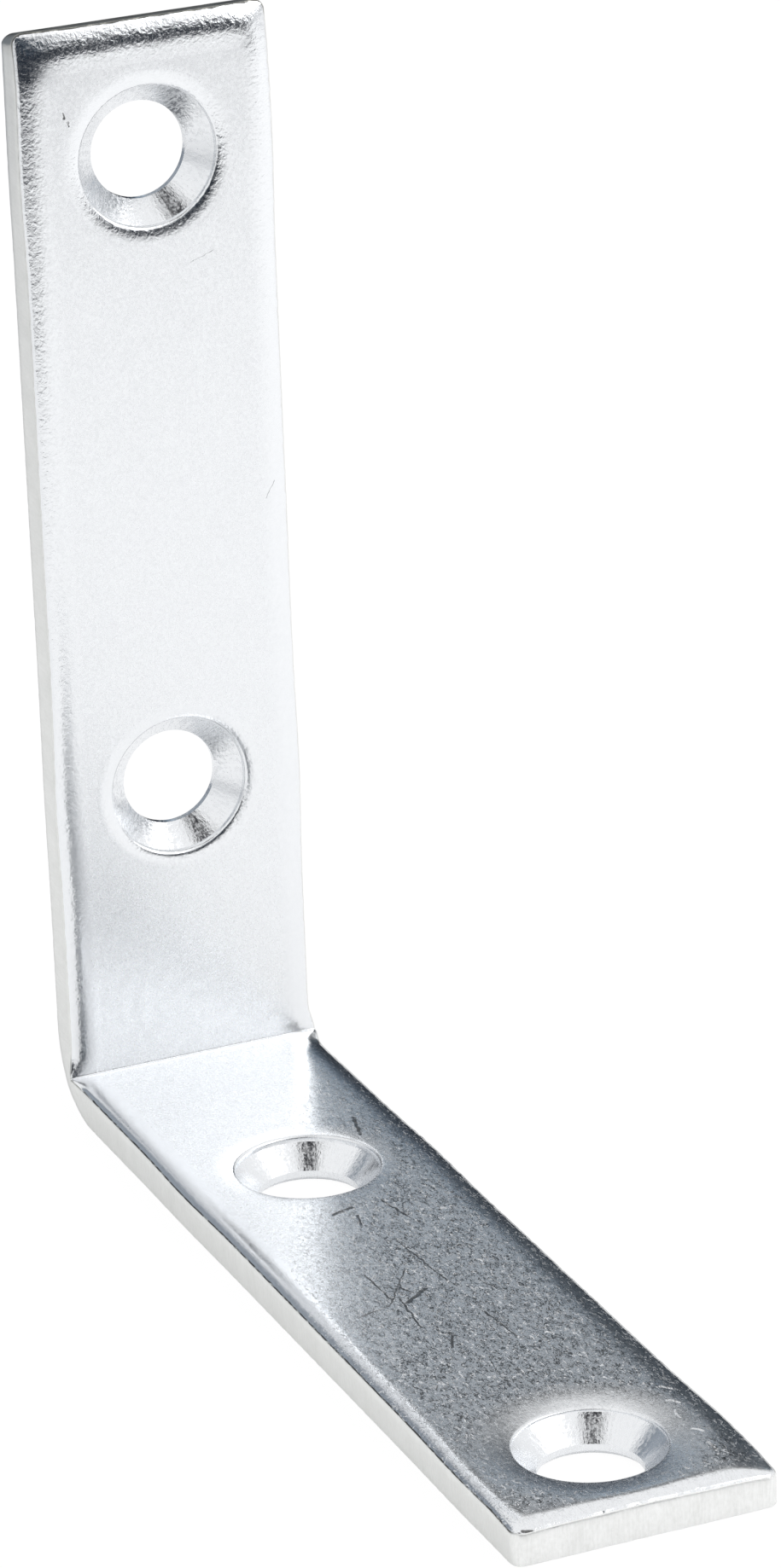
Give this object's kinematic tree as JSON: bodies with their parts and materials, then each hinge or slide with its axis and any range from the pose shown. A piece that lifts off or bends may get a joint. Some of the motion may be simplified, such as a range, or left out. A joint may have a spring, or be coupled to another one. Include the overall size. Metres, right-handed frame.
{
  "type": "angle bracket",
  "caption": "Right-angle corner bracket of bent, bright zinc-plated steel strip with countersunk screw holes in both legs, for joining two members at a corner.",
  "frame": {"origin": "corner where the planes of the two mounting faces meet, at the middle of the strip's width, just outside the rounded bend", "axes": "+X along the lying leg from the corner to its tip, +Z along the standing leg from the corner to its tip, Y across the strip"},
  "size_m": [0.075, 0.018, 0.0755],
  "materials": {
    "zinc_plate": "bright zinc plate on stamped steel, finely grained, with rolled-over sheared edges"
  },
  "bodies": {
    "root": {"bracket": "zinc_plate"}
  },
  "joints": []
}
